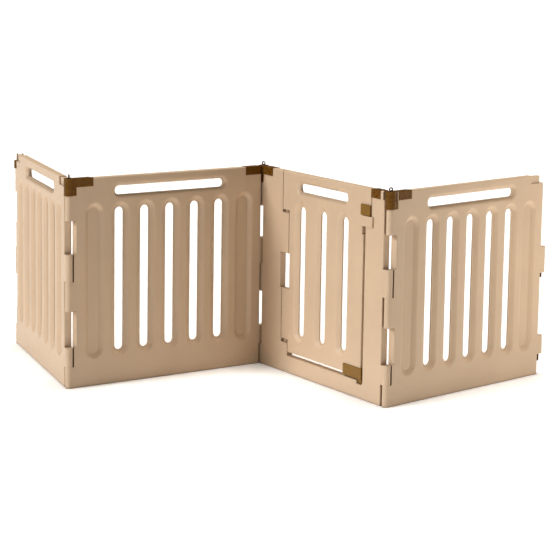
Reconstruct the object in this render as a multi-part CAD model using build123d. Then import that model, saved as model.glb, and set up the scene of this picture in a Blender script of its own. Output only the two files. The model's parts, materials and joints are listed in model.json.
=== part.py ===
from build123d import *
import os
from math import cos, radians, sin

# Pet playpen: four upright plastic panels joined edge to edge by lift-off peg hinges.
# Panel frame: X runs along the panel from its left hinge axis, the front face looks
# along -Y, Z is up and the panel stands on Z = 0.  All sizes are millimetres.

# ---- panel ----
PANEL_WIDTH = 800.0          # hinge axis to hinge axis
PANEL_HEIGHT = 712.0
THICKNESS = 26.0
HALF = THICKNESS / 2
WALL = 3.0                   # skin of the hollow moulding
WEB = 4.5                    # single web in the middle of every groove
PERIMETER_FILLET = 4.0
LEFT_EDGE = 20.0             # left edge of the moulding, from the left hinge axis
RIGHT_EDGE = 18.0            # right edge, from the right hinge axis

# ---- grooves and slots ----
GROOVE_PITCH = 102.5
GROOVE_COUNT = 7             # the outer two are blind
GROOVE_RIM_R = 36.0
GROOVE_FLOOR_R = 22.0
SLOT_R = 17.0
SLOT_BOTTOM = 114.0
SLOT_TOP = 606.0
RIM_FILLET = 12.0            # soft turn from the faces into every recess
FLOOR_FILLET = 6.0

# ---- handle slot ----
HANDLE_BOTTOM = 648.0
HANDLE_TOP = 678.0
HANDLE_LENGTH = 444.0
HANDLE_FLARE = 9.0           # how far the mouth opens out beyond the slot

# ---- levels of the panel hinge ----
BARREL_BOTTOM = 683.5        # corner clip barrel stands above this level
CAP_BOTTOM = 655.0           # brown cap stands between this level and the barrel
TOP_TAB_BOTTOM = 571.0
UPPER_KNUCKLE = (364.0, 456.5)
MID_TAB_BOTTOM = 264.0
LOWER_KNUCKLE = (73.0, 139.0)
TAB_GAP = 0.5                # knuckle rides this far above the tab
KNUCKLE_R = 13.0
POCKET_R = 16.5              # hollow of the lip beside a neighbour's knuckle
POCKET_LIP = 12.0
PEG_R = 3.5
PEG_CLEARANCE = 0.05
UPPER_PEG = 18.0             # length below the knuckle
LOWER_PEG = 27.0
PEG_SEAT = 25.0              # length pressed into the knuckle
PEG_SEAT_R = 4.5
SOCKET_SPARE = 4.0

# ---- corner clips, cap and lock pin ----
CLIP_NEAR = 24.0             # clip reaches from here to CLIP_FAR, from the hinge axis
CLIP_FAR = 86.0
CLIP_WALL = 4.0              # end wall of the clip, beside the panel's core
CORE_NEAR = 36.0             # a right end without a rim is cut away up to here
CORE_HALF = 8.0              # thin core that the clip saddles
RIM_NEAR = 25.0              # the door panel keeps a full rim from here to RIM_FAR
RIM_FAR = 40.0
RIM_CLIP_FAR = 92.0          # far end of the clip beyond that rim
CORE_TOP = 709.0
CLIP_HALF = 15.0
CLIP_TOP = 713.0
CLIP_GAP = 0.2
BARREL_R = 18.0
NECK_HALF = 6.0
EYE_SPLIT = 698.0            # left eyes sit above this level, right eyes below
CAP_R = 17.5
CAP_HALF = 13.0
CAP_REACH = 22.0
PLUG_R = 7.0                 # plug under the cap, pressed into the top tab
PLUG_LENGTH = 16.0
LOCK_R = 4.0
LOCK_CLEARANCE = 0.05
LOCK_BOTTOM = 662.0
LOCK_BORE_BOTTOM = 660.0
HEAD_R = 7.0
HEAD_HEIGHT = 2.5
LOOP_WIDTH = 13.0
LOOP_THICKNESS = 5.0
LOOP_TOP = 727.0
LOOP_HOLE_R = 3.0

# ---- door panel ----
DOOR_AXIS = 176.0            # door hinge axis, from the panel's left hinge axis
DOOR_REACH = 20.0            # hinge tabs reach this far past the door axis
DOOR_POCKET = 23.0           # and the edge they pass stops this far short of it
POST_WINDOW_EDGE = 142.0
DOOR_WINDOW_EDGE = 203.0
DOOR_WINDOW = (298.0, 424.0)  # open stretch of the door hinge
DOOR_TOP_TAB_BOTTOM = 576.0
POST_KNUCKLE_TOP = 567.0
DOOR_MID_TAB_BOTTOM = 119.0
POST_FOOT_TOP = 106.0
RAIL_TOP = 62.0
DOOR_BOTTOM = 75.0
DOOR_RIGHT = 663.0
POST_LEFT = 675.0            # right-hand post, up to the shoulder
POST_SHOULDER = 619.5
POST_TOP_LEFT = 709.0
RECESS_EDGE = 655.0          # door edge beside the keeper
RECESS_BOTTOM = 555.0
EXTENSION_RIGHT = 706.0      # the door's top reaches over the shoulder
EXTENSION_BOTTOM = 620.0
DOOR_SLOT_CENTRE = 407.0
DOOR_SLOT_PITCH = 134.5
DOOR_SLOT_BOTTOM = 141.0
DOOR_SLOT_TOP = 597.0
DOOR_HANDLE_LENGTH = 302.0
DOOR_PIN_BELOW = 34.0
COLLAR_R = 11.0
COLLAR_GAP = 0.25

# ---- door latches ----
LATCH_HALF = 17.0            # two cheeks outside the door's faces
LATCH_GAP = 0.3
LATCH_LIFT = 12.0
LATCH_BRIDGE = 5.0           # bottom that joins the cheeks through a notch in the door
TOP_LATCH = (650.0, 706.0, 620.5, 656.5)
TOP_BRIDGE = (665.0, 701.5)
TOP_TONGUE = (682.0, 700.0)
TOP_TONGUE_HALF = 5.0
TOP_TONGUE_BOTTOM = 612.0
BOTTOM_LATCH = (562.0, 673.0, 67.0, 105.0)
BOTTOM_TONGUE = (645.0, 667.0)
BOTTOM_TONGUE_HALF = 9.0
BOTTOM_TONGUE_BOTTOM = 53.0
NOTCH_LEFT = 641.0
NOTCH_BOTTOM = 50.0
NOTCH_R = 10.0
KEEPER = (659.5, 723.0, 584.0, 619.5)
KEEPER_HALF = 19.0
KEEPER_ROOF = 12.0
KEEPER_POCKET = 8.0
POCKET_ROOM = 1.5            # room round the tongue in the keeper's pocket

# ---- how the four panels stand ----
YAW = {1: -72.1, 2: 35.5, 3: -59.6, 4: 44.1}
LOOP_TURN = {2: 54.5, 3: 59.6, 4: -44.1}      # pull loops face different ways


def box(x0, x1, y0, y1, z0, z1):
    """Box between two corners."""
    size = (x1 - x0, y1 - y0, z1 - z0)
    return Pos((x0 + x1) / 2, (y0 + y1) / 2, (z0 + z1) / 2) * Box(*size)


def slab(x0, x1, z0, z1, half=HALF):
    """Box that lies in the panel's mid-plane."""
    return box(x0, x1, -half, half, z0, z1)


def rod(x, radius, z0, z1):
    """Upright cylinder on the panel's mid-plane."""
    return Pos(x, 0, (z0 + z1) / 2) * Cylinder(radius, z1 - z0)


def stadium(x, z0, z1, radius, y):
    """Upright round-ended face at depth y."""
    plane = Plane.XZ.offset(-y)
    height = z1 - z0 + 2 * radius
    return plane * Pos(x, (z0 + z1) / 2) * SlotOverall(height, 2 * radius, rotation=90)


def level_stadium(x0, x1, z, radius, y):
    """Level round-ended face at depth y."""
    plane = Plane.XZ.offset(-y)
    length = x1 - x0 + 2 * radius
    return plane * Pos((x0 + x1) / 2, z) * SlotOverall(length, 2 * radius)


def flared(face_at, rim_radius, floor_radius, side, extra=0.0):
    """Flared recess from the face down to the web, on the side -1 (front) or +1 (back)."""
    slope = (rim_radius - floor_radius) / (HALF - WEB / 2)
    mouth = 1.0
    rim = face_at(rim_radius + mouth * slope + extra, side * (HALF + mouth))
    floor = face_at(floor_radius + extra, side * WEB / 2)
    return loft([rim, floor], ruled=True)


def groove_face(x, z0, z1):
    """Face maker for an upright groove whose end arcs are centred at z0 and z1."""
    return lambda radius, y: stadium(x, z0, z1, radius, y)


def handle_face(x0, x1, z):
    """Face maker for a level handle recess whose end arcs are centred at x0 and x1."""
    return lambda radius, y: level_stadium(x0, x1, z, radius, y)


def through(face_at, radius):
    """Round-ended hole through the whole panel."""
    return extrude(face_at(radius, -THICKNESS), amount=-2 * THICKNESS)


def near(value, target):
    return abs(value - target) < 0.01


def outline_edges(part):
    """Front and back edges of the outline."""
    flat = [edge for edge in part.edges() if edge.geom_type == GeomType.LINE]
    return [edge for edge in flat if near(abs(edge.center().Y), HALF) and edge.length > 6.0]


def recess_edges(part, holes, depth):
    """Edges of the recesses at one distance from the mid-plane."""
    found = []
    for edge in part.edges():
        centre = edge.center()
        inside = any(low_x < centre.X < high_x and low_z < centre.Z < high_z
                     for low_x, high_x, low_z, high_z in holes)
        if near(abs(centre.Y), depth) and inside:
            found.append(edge)
    return found


def cut_recesses(part, void, grooves, slotted, handle):
    """Cut grooves, slots and the handle, and keep a skin of plastic round them in the void."""
    skin = WALL + 1.0
    holes = []
    for face_at, x, z0, z1 in grooves:
        for side in (-1, 1):
            part -= flared(face_at, GROOVE_RIM_R, GROOVE_FLOOR_R, side)
            void -= flared(face_at, GROOVE_RIM_R, GROOVE_FLOOR_R, side, skin)
        void -= through(face_at, GROOVE_FLOOR_R + skin)
        reach = GROOVE_RIM_R + 1.0
        holes.append((x - reach, x + reach, z0 - reach, z1 + reach))
    part = fillet(recess_edges(part, holes, WEB / 2), FLOOR_FILLET)
    face_at, x0, x1, z = handle
    radius = (HANDLE_TOP - HANDLE_BOTTOM) / 2
    for side in (-1, 1):
        part -= flared(face_at, radius + HANDLE_FLARE, radius, side)
        void -= flared(face_at, radius + HANDLE_FLARE, radius, side, skin)
    void -= through(face_at, radius + skin)
    reach = radius + HANDLE_FLARE + 1.0
    holes.append((x0 - reach, x1 + reach, z - reach, z + reach))
    part = fillet(recess_edges(part, holes, HALF), RIM_FILLET)
    for face_at, x, z0, z1 in grooves:
        if x in slotted:
            part -= through(face_at, SLOT_R)
    part -= through(handle[0], radius)
    return part, void


def upright_grooves(centres, slot_bottom, slot_top):
    """Grooves at the given centres, with end arcs concentric with the slots' ends."""
    z0 = slot_bottom + SLOT_R
    z1 = slot_top - SLOT_R
    return [(groove_face(x, z0, z1), x, z0, z1) for x in centres]


def handle_at(centre, length):
    radius = (HANDLE_TOP - HANDLE_BOTTOM) / 2
    x0 = centre - length / 2 + radius
    x1 = centre + length / 2 - radius
    z = (HANDLE_TOP + HANDLE_BOTTOM) / 2
    return handle_face(x0, x1, z), x0, x1, z


def left_end(part, lips):
    """Three hinge tabs with sockets, front lips beside the neighbour's knuckles, the clip's core."""
    flush = LEFT_EDGE + PERIMETER_FILLET + 1
    for z0, z1 in (LOWER_KNUCKLE, UPPER_KNUCKLE):
        if lips:
            lip = box(POCKET_LIP, flush, -HALF, 0, z0 - 1, z1 + 1)
            part += lip - rod(0, POCKET_R, z0 - 2, z1 + 2)
    tabs = ((0, LOWER_KNUCKLE[0]), (MID_TAB_BOTTOM, UPPER_KNUCKLE[0]), (TOP_TAB_BOTTOM, CAP_BOTTOM))
    for z0, z1 in tabs:
        part += slab(0, flush, z0, z1) + rod(0, KNUCKLE_R, z0, z1)
    part -= slab(-1, CAP_REACH + CLIP_GAP, CAP_BOTTOM, BARREL_BOTTOM, HALF + 1)
    part -= rod(0, PLUG_R, CAP_BOTTOM - PLUG_LENGTH, CAP_BOTTOM + 1)
    for top, length in ((LOWER_KNUCKLE[0], LOWER_PEG), (UPPER_KNUCKLE[0], UPPER_PEG)):
        part -= rod(0, PEG_R + PEG_CLEARANCE, top - length - SOCKET_SPARE, top + 1)
    part -= slab(0, CLIP_NEAR, BARREL_BOTTOM, PANEL_HEIGHT + 1, NECK_HALF + CLIP_GAP)
    core = CLIP_NEAR + CLIP_WALL + CLIP_GAP
    part -= slab(CLIP_NEAR, core, BARREL_BOTTOM, PANEL_HEIGHT + 1, HALF + 1)
    return saddle_core(part, core - 1, CLIP_FAR)


def right_end(part, rim):
    """Two knuckles that carry the pegs, and the seat of the corner clip."""
    axis = PANEL_WIDTH
    flush = axis - RIGHT_EDGE - PERIMETER_FILLET - 1
    for z0, z1 in (LOWER_KNUCKLE, UPPER_KNUCKLE):
        bottom = z0 + TAB_GAP
        part += slab(flush, axis, bottom, z1) + rod(axis, KNUCKLE_R, bottom, z1)
        part -= rod(axis, PEG_SEAT_R, bottom - 1, bottom + PEG_SEAT)
    if not rim:
        part -= slab(axis - CORE_NEAR, axis, BARREL_BOTTOM, PANEL_HEIGHT + 1, HALF + 1)
        return saddle_core(part, axis - CLIP_FAR, axis - CORE_NEAR + 1)
    part -= slab(axis - RIM_NEAR, axis, BARREL_BOTTOM, PANEL_HEIGHT + 1, HALF + 1)
    neck = NECK_HALF + CLIP_GAP
    part -= slab(axis - RIM_FAR, axis, BARREL_BOTTOM, PANEL_HEIGHT + 1, neck)
    wall = RIM_FAR + CLIP_WALL + CLIP_GAP
    part -= slab(axis - wall, axis - RIM_FAR, BARREL_BOTTOM, PANEL_HEIGHT + 1, HALF + 1)
    return saddle_core(part, axis - RIM_CLIP_FAR, axis - wall + 1)


def saddle_core(part, x0, x1):
    """Thin the panel's top between x0 and x1 to the core that a clip saddles."""
    for side in (-1, 1):
        low, high = sorted((side * CORE_HALF, side * (HALF + 1)))
        part -= box(x0, x1, low, high, BARREL_BOTTOM, PANEL_HEIGHT + 1)
    part -= slab(x0, x1, CORE_TOP, PANEL_HEIGHT + 1, HALF + 1)
    return part


def hollow_out(part, void, vent_places):
    """Take the inner hollow out of a moulding and open it with small vents underneath."""
    part -= void
    for x, z in vent_places:
        part -= rod(x, 2.0, z - 1, z + WALL + 2)
    return part


def upright_void(x0, x1, z0, z1):
    """Hollow between the two skins."""
    return slab(x0, x1, z0, z1, HALF - WALL)


def standard_panel():
    """Panel with seven grooves, five of them slotted, and a handle slot."""
    right = PANEL_WIDTH - RIGHT_EDGE
    part = slab(LEFT_EDGE, right, 0, PANEL_HEIGHT)
    part = fillet(outline_edges(part), PERIMETER_FILLET)
    void = upright_void(LEFT_EDGE + 6, right - WALL, WALL, BARREL_BOTTOM - WALL)
    between_clips = (CLIP_FAR + WALL, PANEL_WIDTH - CLIP_FAR - WALL)
    void += upright_void(*between_clips, BARREL_BOTTOM - WALL - 1, PANEL_HEIGHT - WALL)
    middle = PANEL_WIDTH / 2
    steps = range(-(GROOVE_COUNT // 2), GROOVE_COUNT // 2 + 1)
    centres = [middle + step * GROOVE_PITCH for step in steps]
    grooves = upright_grooves(centres, SLOT_BOTTOM, SLOT_TOP)
    handle = handle_at(middle, HANDLE_LENGTH)
    part, void = cut_recesses(part, void, grooves, centres[1:-1], handle)
    part = right_end(left_end(part, lips=True), rim=False)
    return hollow_out(part, void, [(LEFT_EDGE + 12, 0), (right - 12, 0)])


def plate(points):
    """Plate of the panel's thickness from a closed outline in X and Z."""
    outline = Plane.XZ.offset(-HALF) * make_face(Polyline(*points, close=True))
    return extrude(outline, amount=THICKNESS, dir=(0, -1, 0))


def door_frame():
    """One moulding: hinge post, rail under the door and latch post."""
    right = PANEL_WIDTH - RIGHT_EDGE
    reach = DOOR_AXIS + DOOR_REACH
    pocket = DOOR_AXIS - DOOR_POCKET
    part = plate([
        (LEFT_EDGE, 0), (right, 0), (right, PANEL_HEIGHT), (POST_TOP_LEFT, PANEL_HEIGHT),
        (POST_TOP_LEFT, POST_SHOULDER), (POST_LEFT, POST_SHOULDER), (POST_LEFT, NOTCH_BOTTOM),
        (NOTCH_LEFT, NOTCH_BOTTOM), (NOTCH_LEFT, RAIL_TOP), (reach, RAIL_TOP),
        (reach, POST_FOOT_TOP), (pocket, POST_FOOT_TOP), (pocket, DOOR_WINDOW[0]),
        (POST_WINDOW_EDGE, DOOR_WINDOW[0]), (POST_WINDOW_EDGE, DOOR_WINDOW[1]),
        (reach, DOOR_WINDOW[1]), (reach, POST_KNUCKLE_TOP), (pocket, POST_KNUCKLE_TOP),
        (pocket, PANEL_HEIGHT), (LEFT_EDGE, PANEL_HEIGHT),
    ])
    corner = [e for e in part.edges().filter_by(Axis.Y)
              if near(e.center().X, POST_LEFT) and near(e.center().Z, NOTCH_BOTTOM)]
    part = fillet(corner, NOTCH_R)
    part = fillet(face_outline(part), PERIMETER_FILLET)
    part = right_end(left_end(part, lips=False), rim=True)
    part = keeper_seat(part)
    for top in (POST_KNUCKLE_TOP, POST_FOOT_TOP):
        bottom = top - DOOR_PIN_BELOW - SOCKET_SPARE
        part -= rod(DOOR_AXIS, PEG_R + PEG_CLEARANCE, bottom, top + 1)
    void = upright_void(LEFT_EDGE + 6, POST_WINDOW_EDGE - WALL, WALL, BARREL_BOTTOM - WALL)
    void += upright_void(LEFT_EDGE + 6, right - WALL, WALL, NOTCH_BOTTOM - WALL)
    void += upright_void(POST_LEFT + WALL, right - WALL, WALL, KEEPER[2] - WALL)
    void += upright_void(KEEPER[1] + WALL, right - WALL, WALL, BARREL_BOTTOM - WALL)
    return hollow_out(part, void, [(LEFT_EDGE + 12, 0), (right - 12, 0)])


def face_outline(part):
    """All edges on the two faces of a plate."""
    return [edge for edge in part.edges() if near(abs(edge.center().Y), HALF)
            and near(edge.bounding_box().size.Y, 0)]


def keeper_seat(part):
    """Core on the latch post's shoulder that the keeper saddles."""
    x0, x1, z0, z1 = KEEPER
    for side in (-1, 1):
        low, high = sorted((side * CORE_HALF, side * (HALF + 1)))
        part -= box(POST_LEFT - 1, x1, low, high, z0, z1)
    part -= slab(POST_LEFT - 1, POST_TOP_LEFT, z1 - KEEPER_ROOF, z1 + 1, HALF + 1)
    return part


def door():
    """Door leaf with two hinge tabs, three slots, a handle slot and two latch seats."""
    left = DOOR_AXIS + DOOR_POCKET
    tab = DOOR_AXIS - DOOR_REACH
    part = plate([
        (left, DOOR_BOTTOM), (DOOR_RIGHT, DOOR_BOTTOM), (DOOR_RIGHT, RECESS_BOTTOM),
        (RECESS_EDGE, RECESS_BOTTOM), (RECESS_EDGE, EXTENSION_BOTTOM),
        (EXTENSION_RIGHT, EXTENSION_BOTTOM), (EXTENSION_RIGHT, PANEL_HEIGHT),
        (tab, PANEL_HEIGHT), (tab, DOOR_TOP_TAB_BOTTOM), (left, DOOR_TOP_TAB_BOTTOM),
        (left, DOOR_WINDOW[1]), (DOOR_WINDOW_EDGE, DOOR_WINDOW[1]),
        (DOOR_WINDOW_EDGE, DOOR_WINDOW[0]), (tab, DOOR_WINDOW[0]), (tab, DOOR_MID_TAB_BOTTOM),
        (left, DOOR_MID_TAB_BOTTOM),
    ])
    part = fillet(face_outline(part), PERIMETER_FILLET)
    inner = DOOR_WINDOW_EDGE + WALL + 2
    void = upright_void(inner, RECESS_EDGE - WALL - 8, DOOR_BOTTOM + WALL, PANEL_HEIGHT - WALL)
    notch_top = BOTTOM_LATCH[2] + LATCH_BRIDGE + LATCH_LIFT
    void -= slab(BOTTOM_LATCH[0] - 4, DOOR_RIGHT, DOOR_BOTTOM, notch_top + 4)
    centres = [DOOR_SLOT_CENTRE + step * DOOR_SLOT_PITCH for step in (-1, 0, 1)]
    grooves = upright_grooves(centres, DOOR_SLOT_BOTTOM, DOOR_SLOT_TOP)
    handle = handle_at(DOOR_SLOT_CENTRE, DOOR_HANDLE_LENGTH)
    part, void = cut_recesses(part, void, grooves, centres, handle)
    part = latch_seats(part)
    for bottom in (DOOR_TOP_TAB_BOTTOM, DOOR_MID_TAB_BOTTOM):
        part -= rod(DOOR_AXIS, PEG_R, bottom - 1, bottom + PEG_SEAT)
    return hollow_out(part, void, [(inner + 8, DOOR_BOTTOM)])


def latch_seats(part):
    """Notch the door for the bridge of each latch, with room for the lift."""
    room = LATCH_BRIDGE + LATCH_LIFT + LATCH_GAP
    top_left, top_right = TOP_BRIDGE
    part -= slab(top_left - LATCH_GAP, top_right + LATCH_GAP, EXTENSION_BOTTOM - 1,
                 TOP_LATCH[2] + room, HALF + 1)
    low_left, low_right, low_bottom, _ = BOTTOM_LATCH
    part -= slab(low_left - LATCH_GAP, low_right, low_bottom, low_bottom + room, HALF + 1)
    return part


def softened(part, radius, axes):
    """Round the edges that run along the given axes."""
    for axis in axes:
        part = fillet(part.edges().filter_by(axis), radius)
    return part


def saddle(x0, x1, core_x0, core_x1):
    """Clip body over the panel's core."""
    body = slab(x0, x1, BARREL_BOTTOM + CLIP_GAP, CLIP_TOP, CLIP_HALF)
    body = fillet(body.edges().filter_by(Axis.X), 1.5)
    core = slab(core_x0, core_x1, BARREL_BOTTOM, CORE_TOP + CLIP_GAP, CORE_HALF + CLIP_GAP)
    return body - core


def eye(z0, z1, reach=CLIP_NEAR):
    """Barrel section and the neck that joins it to a clip body at reach."""
    return chamfered_rod(BARREL_R, z0, z1) + slab(0, reach + 1, z0, z1, NECK_HALF)


def right_clip(full_height):
    """Clip on a panel's left end; a corner without a left clip gets a full-height barrel."""
    bottom = BARREL_BOTTOM + CLIP_GAP
    top = CLIP_TOP + 0.5 if full_height else EYE_SPLIT - CLIP_GAP
    part = saddle(CLIP_NEAR, CLIP_FAR - CLIP_GAP, CLIP_NEAR + CLIP_WALL, CLIP_FAR)
    if full_height:
        sleeve = slab(0, CLIP_NEAR + 1, bottom, CLIP_TOP, CLIP_HALF)
        sleeve = fillet(sleeve.edges().filter_by(Axis.X), 1.0)
        part += sleeve - slab(LEFT_EDGE - CLIP_GAP, CLIP_NEAR, bottom - 1, top, HALF + CLIP_GAP)
    part += eye(bottom, top)
    return part - rod(0, LOCK_R + LOCK_CLEARANCE, BARREL_BOTTOM, top + 1)


def chamfered_rod(radius, z0, z1):
    body = rod(0, radius, z0, z1)
    return chamfer(body.edges().filter_by(GeomType.CIRCLE), 0.8)


def left_clip(rim):
    """Clip on a panel's right end, drawn with its saddle towards +X."""
    if rim:
        part = saddle(RIM_FAR, RIM_CLIP_FAR - CLIP_GAP, RIM_FAR + CLIP_WALL, RIM_CLIP_FAR)
        part += eye(EYE_SPLIT + CLIP_GAP, CLIP_TOP + 0.5, RIM_FAR)
    else:
        part = saddle(CLIP_NEAR, CLIP_FAR - CLIP_GAP, CORE_NEAR, CLIP_FAR)
        part += eye(EYE_SPLIT + CLIP_GAP, CLIP_TOP + 0.5)
    return part - rod(0, LOCK_R + LOCK_CLEARANCE, BARREL_BOTTOM, PANEL_HEIGHT + 5)


def cap():
    """Cap over a panel's top tab, with the plug that holds it and the lock pin's blind bore."""
    z0 = CAP_BOTTOM
    z1 = BARREL_BOTTOM - CLIP_GAP
    part = chamfered_rod(CAP_R, z0, z1) + slab(0, CAP_REACH, z0, z1, CAP_HALF)
    part += rod(0, PLUG_R, z0 - PLUG_LENGTH, z0 + 1)
    return part - rod(0, LOCK_R + LOCK_CLEARANCE, LOCK_BORE_BOTTOM, z1 + 1)


def lock_pin():
    """Lift-out pin with a flat pull loop."""
    seat = CLIP_TOP + 0.5 + CLIP_GAP
    part = chamfer(rod(0, LOCK_R, LOCK_BOTTOM, seat + 1).edges().group_by(Axis.Z)[0], 1.0)
    head = rod(0, HEAD_R, seat, seat + HEAD_HEIGHT)
    part += chamfer(head.edges().filter_by(GeomType.CIRCLE), 0.6)
    radius = LOOP_WIDTH / 2
    centre = LOOP_TOP - radius
    loop = box(-radius, radius, -LOOP_THICKNESS / 2, LOOP_THICKNESS / 2, seat + 1, centre)
    across = Pos(0, 0, centre) * Rot(90, 0, 0)
    loop += across * Cylinder(radius, LOOP_THICKNESS)
    loop -= across * Cylinder(LOOP_HOLE_R, LOOP_THICKNESS + 2)
    return part + loop


def peg(z_seat, length):
    """Hinge peg pressed into the knuckle above z_seat and hanging below it."""
    body = rod(0, PEG_R, z_seat - length, z_seat + 1)
    body = chamfer(body.edges().group_by(Axis.Z)[0], 1.0)
    return body + rod(0, PEG_SEAT_R, z_seat, z_seat + PEG_SEAT)


def door_pin(socket_top, tab_bottom):
    """Door hinge pin with a collar that carries the door above the post."""
    body = rod(0, PEG_R, socket_top - DOOR_PIN_BELOW, tab_bottom + PEG_SEAT)
    body = chamfer(body.edges().group_by(Axis.Z)[0], 1.0)
    return body + rod(0, COLLAR_R, socket_top + COLLAR_GAP, tab_bottom)


def cheeks(x0, x1, z0, z1):
    """Two plates beside the door's faces."""
    body = softened(slab(x0, x1, z0, z1, LATCH_HALF), 1.5, (Axis.X, Axis.Z))
    return body - slab(x0 - 1, x1 + 1, z0 - 1, z1 + 1, HALF + LATCH_GAP)


def top_latch():
    """Slider that straddles the door's upper extension and drops a tongue into the keeper."""
    bottom = TOP_LATCH[2]
    inner = HALF + LATCH_GAP + 0.5
    body = cheeks(*TOP_LATCH) + slab(*TOP_BRIDGE, bottom, bottom + LATCH_BRIDGE, inner)
    return body + slab(*TOP_TONGUE, TOP_TONGUE_BOTTOM, bottom + 1, TOP_TONGUE_HALF)


def bottom_latch():
    """Slider that straddles the door's lower corner and drops a tongue into the rail's notch."""
    x0, x1, bottom, top = BOTTOM_LATCH
    inner = HALF + LATCH_GAP + 0.5
    body = cheeks(*BOTTOM_LATCH) + slab(x0 + 2, x1 - 2, bottom, bottom + LATCH_BRIDGE, inner)
    body += slab(DOOR_RIGHT + LATCH_GAP, x1 - 2, bottom, top, inner)
    return body + slab(*BOTTOM_TONGUE, BOTTOM_TONGUE_BOTTOM, bottom + 1, BOTTOM_TONGUE_HALF)


def latch_keeper():
    """Block that saddles the latch post's shoulder, with a pocket for the top tongue."""
    x0, x1, z0, z1 = KEEPER
    body = slab(x0, x1, z0, z1, KEEPER_HALF)
    body = softened(body, 2.0, (Axis.X, Axis.Z))
    body -= slab(POST_LEFT, x1 + 1, z0 - 1, z1 - KEEPER_ROOF, CORE_HALF)
    body -= slab(POST_TOP_LEFT, x1 + 1, z0 - 1, z1 + 1, CORE_HALF)
    body -= slab(TOP_TONGUE[0] - POCKET_ROOM, TOP_TONGUE[1] + POCKET_ROOM,
                 z1 - KEEPER_POCKET, z1 + 1, TOP_TONGUE_HALF + POCKET_ROOM)
    return body


def corner_points():
    """Hinge axes from the free left end to the free right end."""
    points = [(0.0, 0.0)]
    for yaw in YAW.values():
        x, y = points[-1]
        points.append((x + PANEL_WIDTH * cos(radians(yaw)), y + PANEL_WIDTH * sin(radians(yaw))))
    return points


def panel_location(number):
    """Where a panel's left hinge axis stands, with the origin under the middle of the pen."""
    points = corner_points()
    low_x = points[0][0] - CAP_R
    high_x = points[4][0] + KNUCKLE_R
    low_y = points[3][1] - BARREL_R
    high_y = points[0][1] + CAP_R
    x, y = points[number - 1]
    middle = ((low_x + high_x) / 2, (low_y + high_y) / 2)
    return Pos(x - middle[0], y - middle[1], 0) * Rot(0, 0, YAW[number])


def panel_nodes(number, body):
    """Nodes that every panel has: the moulding, the cap and the two pegs."""
    name = "panel_3_frame" if number == 3 else f"panel_{number}"
    far = Pos(PANEL_WIDTH, 0, 0)
    return {
        name: body,
        f"cap_{number}": cap(),
        f"peg_{number}_upper": far * peg(UPPER_KNUCKLE[0] + TAB_GAP, UPPER_PEG + TAB_GAP),
        f"peg_{number}_lower": far * peg(LOWER_KNUCKLE[0] + TAB_GAP, LOWER_PEG + TAB_GAP),
    }


def assembly():
    """Every node of the pen, in place."""
    plain = standard_panel()
    nodes = {}
    far = Pos(PANEL_WIDTH, 0, 0) * Rot(0, 0, 180)
    for number in (1, 2, 3, 4):
        local = panel_nodes(number, door_frame() if number == 3 else plain)
        if number > 1:
            local[f"clip_{number}_left"] = right_clip(number == 2)
            local[f"lock_pin_{number}"] = Rot(0, 0, LOOP_TURN[number]) * lock_pin()
        if number in (2, 3):
            local[f"clip_{number}_right"] = far * left_clip(number == 3)
        if number == 3:
            local.update(door_nodes())
        place = panel_location(number)
        nodes.update({name: place * shape for name, shape in local.items()})
    return nodes


def door_nodes():
    """Door leaf, its hinge pins, the latches and the keeper."""
    axis = Pos(DOOR_AXIS, 0, 0)
    return {
        "panel_3_door": door(),
        "door_pin_upper": axis * door_pin(POST_KNUCKLE_TOP, DOOR_TOP_TAB_BOTTOM),
        "door_pin_lower": axis * door_pin(POST_FOOT_TOP, DOOR_MID_TAB_BOTTOM),
        "top_latch": top_latch(),
        "bottom_latch": bottom_latch(),
        "latch_keeper": latch_keeper(),
    }


os.makedirs("parts", exist_ok=True)
for node, shape in assembly().items():
    export_step(shape, f"parts/{node}.step")
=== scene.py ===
import json
import math

import bpy
from mathutils import Matrix, Vector

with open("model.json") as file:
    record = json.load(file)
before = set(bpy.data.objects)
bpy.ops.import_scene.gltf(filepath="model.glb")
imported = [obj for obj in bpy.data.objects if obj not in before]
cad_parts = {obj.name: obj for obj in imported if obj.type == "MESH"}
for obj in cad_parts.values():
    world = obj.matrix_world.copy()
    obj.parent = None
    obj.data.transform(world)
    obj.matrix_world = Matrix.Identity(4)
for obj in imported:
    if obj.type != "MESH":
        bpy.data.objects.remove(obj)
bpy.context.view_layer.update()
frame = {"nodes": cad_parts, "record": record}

# ---- camera, worked out for a 554 x 554 picture; metres and degrees ----
CAMERA_PLACE = Vector((-0.1216, -7.2469, 1.5794))
CAMERA_HEADING = 1.339       # to the right of +Y
CAMERA_PITCH = 9.585         # below the horizon
CAMERA_ROLL = 0.958          # right side up
CAMERA_LENS = 137.15
CAMERA_SHIFT = (-0.0190, -0.0052)     # part of the picture width
SENSOR_WIDTH = 36.0

# ---- colours, linear ----
CREAM = (0.552, 0.396, 0.262)
BROWN = (0.112, 0.044, 0.004)
DARK_BROWN = (0.040, 0.014, 0.003)
OLIVE_BROWN = (0.200, 0.102, 0.022)
PIN_TAN = (0.34, 0.22, 0.13)
FLOOR_WHITE = (0.92, 0.92, 0.92)
NEUTRAL = (1.0, 1.0, 1.0)    # tints of the sheen
WARM = (1.0, 0.72, 0.42)

# ---- plastic and floor, metres ----
CREVICE_REACH = 0.012        # how far in from a corner the painted shade reaches
EDGE_REACH = 0.0035          # how far from an edge the plastic is rubbed
PLASTIC_IOR = 1.5
FLOOR_SIZE = 400.0
FLOOR_CENTRE = (0, 150.0, 0)     # from behind the camera to past the top of the picture
FLOOR_GLOW = 0.16
WORLD_GLOW = 0.10


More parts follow.
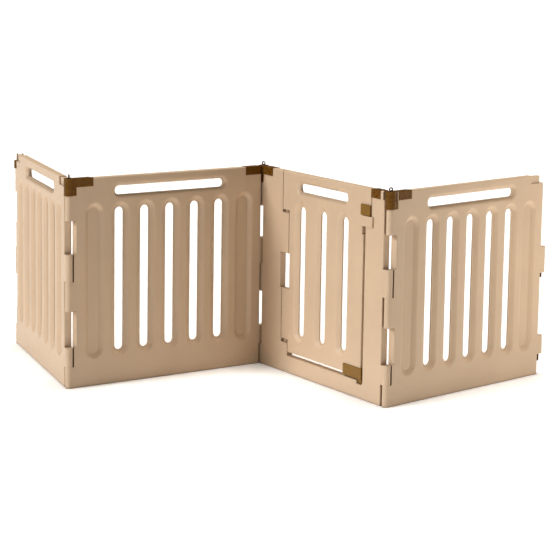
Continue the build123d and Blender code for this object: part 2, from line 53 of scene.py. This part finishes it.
class Nodes:
    """Short way to add and link shader nodes."""

    def __init__(self, name):
        self.material = bpy.data.materials.new(name)
        self.material.use_nodes = True
        self.tree = self.material.node_tree
        self.shader = self.tree.nodes["Principled BSDF"]

    def add(self, kind, **values):
        node = self.tree.nodes.new("ShaderNode" + kind)
        for key, value in values.items():
            if hasattr(node, key):
                setattr(node, key, value)
            else:
                node.inputs[key.replace("_", " ")].default_value = value
        return node

    def link(self, source, target):
        self.tree.links.new(source, target)

    def noise(self, scale, detail=4.0, roughness=0.5):
        """Noise in object space, so that it is the same size on every node."""
        place = self.tree.nodes.get("Place") or self.add("TexCoord", name="Place")
        node = self.add("TexNoise", Scale=scale, Detail=detail, Roughness=roughness)
        self.link(place.outputs["Object"], node.inputs["Vector"])
        return node

    def scaled(self, source, low, high, from_low=0.3, from_high=0.7):
        """Map a noise's useful range to low..high."""
        node = self.add("MapRange")
        node.inputs["From Min"].default_value = from_low
        node.inputs["From Max"].default_value = from_high
        node.inputs["To Min"].default_value = low
        node.inputs["To Max"].default_value = high
        self.link(source, node.inputs["Value"])
        return node.outputs["Result"]

    def blend_colour(self, factor, first, second, mode="MIX"):
        node = self.add("Mix", data_type="RGBA", blend_type=mode)
        self.set_or_link(factor, node.inputs[0])
        self.set_or_link(first, node.inputs[6])
        self.set_or_link(second, node.inputs[7])
        return node.outputs[2]

    def set_or_link(self, value, target):
        if isinstance(value, bpy.types.NodeSocket):
            self.link(value, target)
        elif isinstance(value, tuple):
            target.default_value = (*value, 1.0)
        else:
            target.default_value = value


def tinted(colour, factor):
    return tuple(min(1.0, channel * factor) for channel in colour)


def moulded_plastic(name, colour, roughness, grain, wear, gloss, tint):
    """Moulded plastic: mottled colour, painted shade darkening crevices, rubbed edges, grain
    and soft waves.
    """
    m = Nodes(name)
    broad = m.noise(5.0, 3.0).outputs["Fac"]
    fine = m.noise(85.0, 5.0, 0.6).outputs["Fac"]
    specks = m.noise(650.0, 2.0, 0.5).outputs["Fac"]
    mottle = m.scaled(broad, 0.0, 1.0)
    base = m.blend_colour(mottle, tinted(colour, 0.955), tinted(colour, 1.045))
    base = m.blend_colour(m.scaled(fine, 0.0, 0.35), base, tinted(colour, 0.93))
    base = m.blend_colour(m.scaled(specks, 0.0, 0.18, 0.55, 0.8), base, tinted(colour, 1.15))
    # painted shade: the colour is darkened in crevices and corners, where shade falls
    crevice = m.add("AmbientOcclusion", samples=6)
    crevice.inputs["Distance"].default_value = CREVICE_REACH
    painted_shade = m.scaled(crevice.outputs["AO"], 0.9, 0.0, 0.22, 0.9)
    shade_colour = (colour[0] * 0.36, colour[1] * 0.26, colour[2] * 0.17)
    base = m.blend_colour(painted_shade, base, shade_colour)
    edge = m.add("AmbientOcclusion", samples=6, inside=True)
    edge.inputs["Distance"].default_value = EDGE_REACH
    rubbed = m.scaled(edge.outputs["AO"], wear, 0.0, 0.35, 0.8)
    worn = m.add("Math", operation="MULTIPLY")
    m.link(rubbed, worn.inputs[0])
    m.link(m.scaled(fine, 0.4, 1.0), worn.inputs[1])
    base = m.blend_colour(worn.outputs[0], base, tinted(colour, 1.35))
    m.link(base, m.shader.inputs["Base Color"])
    m.link(m.scaled(fine, roughness - 0.06, roughness + 0.08), m.shader.inputs["Roughness"])
    m.shader.inputs["IOR"].default_value = PLASTIC_IOR
    m.shader.inputs["Specular IOR Level"].default_value = gloss
    m.shader.inputs["Specular Tint"].default_value = (*tint, 1.0)
    texture = m.noise(grain, 3.0, 0.55).outputs["Fac"]
    waves = m.noise(14.0, 2.0, 0.4).outputs["Fac"]
    ripple = m.add("Bump", Strength=0.10, Distance=0.004)
    m.link(waves, ripple.inputs["Height"])
    skin = m.add("Bump", Strength=0.22, Distance=0.0004)
    m.link(texture, skin.inputs["Height"])
    m.link(ripple.outputs["Normal"], skin.inputs["Normal"])
    m.link(skin.outputs["Normal"], m.shader.inputs["Normal"])
    return m.material


def floor_finish():
    """Matt white floor that glows faintly, as a lit studio sweep does."""
    m = Nodes("studio_floor")
    tone = m.scaled(m.noise(1.5, 2.0).outputs["Fac"], 0.0, 1.0)
    base = m.blend_colour(tone, tinted(FLOOR_WHITE, 0.995), tinted(FLOOR_WHITE, 1.005))
    m.link(base, m.shader.inputs["Base Color"])
    m.shader.inputs["Roughness"].default_value = 0.9
    m.shader.inputs["Emission Color"].default_value = (1.0, 0.99, 0.97, 1.0)
    m.shader.inputs["Emission Strength"].default_value = FLOOR_GLOW
    return m.material


def finishes():
    """One finish for each of the record's material slots."""
    looks = {
        "cream_plastic": (CREAM, 0.47, 1500.0, 0.30, 0.5, NEUTRAL),
        "brown_plastic": (BROWN, 0.27, 1100.0, 0.40, 0.25, WARM),
        "dark_brown_plastic": (DARK_BROWN, 0.30, 1100.0, 0.40, 0.25, WARM),
        "olive_brown_plastic": (OLIVE_BROWN, 0.38, 1100.0, 0.35, 0.15, WARM),
        "pin_plastic": (PIN_TAN, 0.38, 1300.0, 0.30, 0.4, NEUTRAL),
    }
    return {slot: moulded_plastic(slot, *look) for slot, look in looks.items()}


def dress_nodes():
    """Give every CAD node the finish of its material slot."""
    by_slot = finishes()
    for part in frame["record"]["subparts"]:
        node = frame["nodes"][part["node"]]
        node.data.materials.clear()
        node.data.materials.append(by_slot[part["material_slot"]])


def add_floor():
    bpy.ops.mesh.primitive_plane_add(size=FLOOR_SIZE, location=FLOOR_CENTRE)
    floor = bpy.context.object
    floor.name = "studio_floor"
    floor.data.materials.append(floor_finish())


def sun(name, towards, spread, strength, colour):
    """Broad far light that comes from a direction."""
    data = bpy.data.lights.new(name, "SUN")
    data.angle = math.radians(spread)
    data.energy = strength
    data.color = colour
    light = bpy.data.objects.new(name, data)
    light.rotation_euler = Vector(towards).to_track_quat("Z", "Y").to_euler()
    bpy.context.collection.objects.link(light)


def softbox(name, place, aim, width, height, power, colour):
    """Area light near the pen."""
    data = bpy.data.lights.new(name, "AREA")
    data.shape = "RECTANGLE"
    data.size = width
    data.size_y = height
    data.energy = power
    data.color = colour
    light = bpy.data.objects.new(name, data)
    light.location = place
    light.rotation_euler = (Vector(place) - Vector(aim)).to_track_quat("Z", "Y").to_euler()
    light.visible_glossy = False
    bpy.context.collection.objects.link(light)


def light_studio():
    """Broad suns from the left front and from above, and a softbox close on the right."""
    sun("key", (-0.80, -0.38, 0.44), 16.0, 2.2, (0.97, 1.0, 1.03))
    sun("overhead", (0.05, 0.10, 1.0), 24.0, 2.8, (1.0, 0.955, 0.88))
    softbox("right", (1.50, -0.42, 0.45), (0.9, 0.0, 0.30), 0.4, 0.7, 3.0, (1.0, 0.97, 0.92))
    world = bpy.data.worlds.new("studio")
    world.use_nodes = True
    sky = world.node_tree.nodes["Background"]
    sky.inputs["Color"].default_value = (1.0, 0.93, 0.85, 1.0)
    sky.inputs["Strength"].default_value = WORLD_GLOW
    bpy.context.scene.world = world


def add_camera():
    heading = math.radians(CAMERA_HEADING)
    pitch = math.radians(CAMERA_PITCH)
    roll = math.radians(CAMERA_ROLL)
    ahead = Vector((
        math.sin(heading) * math.cos(pitch),
        math.cos(heading) * math.cos(pitch),
        -math.sin(pitch),
    ))
    level = Vector((math.cos(heading), -math.sin(heading), 0.0))
    above = level.cross(ahead)
    right = level * math.cos(roll) + above * math.sin(roll)
    up = above * math.cos(roll) - level * math.sin(roll)
    data = bpy.data.cameras.new("camera")
    data.sensor_width = SENSOR_WIDTH
    data.lens = CAMERA_LENS
    data.shift_x, data.shift_y = CAMERA_SHIFT
    data.clip_end = 1000.0
    camera = bpy.data.objects.new("camera", data)
    turn = Matrix((right, up, -ahead)).transposed()
    camera.matrix_world = Matrix.Translation(CAMERA_PLACE) @ turn.to_4x4()
    bpy.context.collection.objects.link(camera)
    bpy.context.scene.camera = camera


dress_nodes()
add_floor()
light_studio()
add_camera()
bpy.context.scene.view_settings.view_transform = "Standard"
